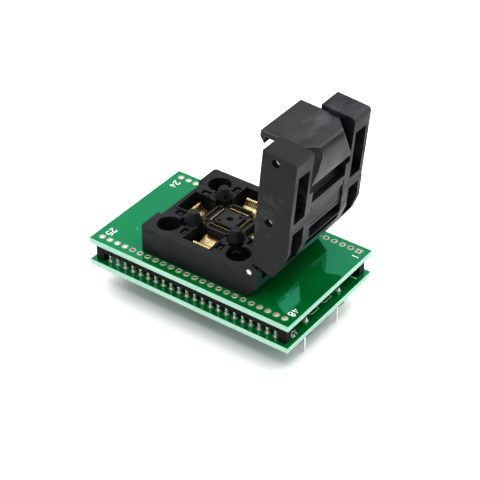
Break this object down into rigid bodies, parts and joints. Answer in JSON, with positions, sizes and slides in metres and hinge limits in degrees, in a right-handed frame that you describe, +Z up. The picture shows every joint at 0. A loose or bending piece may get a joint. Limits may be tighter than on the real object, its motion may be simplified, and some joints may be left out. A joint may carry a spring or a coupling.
{
  "type": "chip programming adapter",
  "caption": "Clamshell test socket for a square flat chip, on two stacked circuit boards that end in a two-row pin plug for a device programmer.",
  "frame": {"origin": "midway along the boards, at the tips of the plug pins", "axes": "+Z up out of the plug, +X along the pin rows towards the lid's hinge, +Y across the rows towards pin 1's row"},
  "size_m": [0.0636, 0.039, 0.063],
  "materials": {
    "board": "green solder mask over pale fibreglass",
    "pads": "tinned copper",
    "strip": "black moulded strip",
    "pins": "plated pins",
    "solder": "bright solder",
    "socket": "black glass-filled moulding",
    "nest": "black moulding, a little glossier",
    "contacts": "gold-plated spring contacts",
    "steel": "ground steel pins",
    "springs": "drawn spring wire",
    "lid": "black glass-filled moulding, satin",
    "pusher": "black moulding"
  },
  "bodies": {
    "base": {"upper_board": "board", "lower_board": "board", "upper_pads": "pads", "lower_pads": "pads", "front_link_strip": "strip", "rear_link_strip": "strip", "end_spacers": "strip", "front_link_pins": "pins", "rear_link_pins": "pins", "link_solder": "solder", "front_plug_strip": "strip", "rear_plug_strip": "strip", "front_plug_pins": "pins", "rear_plug_pins": "pins", "socket_base": "socket", "chip_nest": "nest", "front_contacts": "contacts", "rear_contacts": "contacts", "left_contacts": "contacts", "right_contacts": "contacts", "hinge_pin": "steel", "hinge_springs": "springs"},
    "lid": {"lid_frame": "lid", "latch_pin": "steel", "latch_spring": "springs", "pusher_pin": "steel", "pusher_springs": "springs"},
    "latch": {"latch": "lid"},
    "pusher": {"pusher": "pusher"}
  },
  "joints": [
    {"name": "lid_hinge", "type": "hinge", "parent": "base", "child": "lid", "pos_m": [0.01725, 0.00045, 0.02535], "axis": [0, 1, 0], "range_deg": [-95, 0], "stiffness_Nm_per_rad": 0.008, "springref_deg": 28.65, "deforming": ["hinge_springs"]},
    {"name": "latch_pivot", "type": "hinge", "parent": "lid", "child": "latch", "pos_m": [0.02464, 0.00045, 0.06044], "axis": [0, 1, 0], "range_deg": [0, 14], "stiffness_Nm_per_rad": 0.006, "springref_deg": -20.05, "deforming": ["latch_spring"]},
    {"name": "pusher_tilt", "type": "hinge", "parent": "lid", "child": "pusher", "pos_m": [0.02288, 0.00045, 0.04267], "axis": [0, 1, 0], "range_deg": [-3, 3], "stiffness_Nm_per_rad": 0.006, "deforming": ["pusher_springs"]}
  ]
}
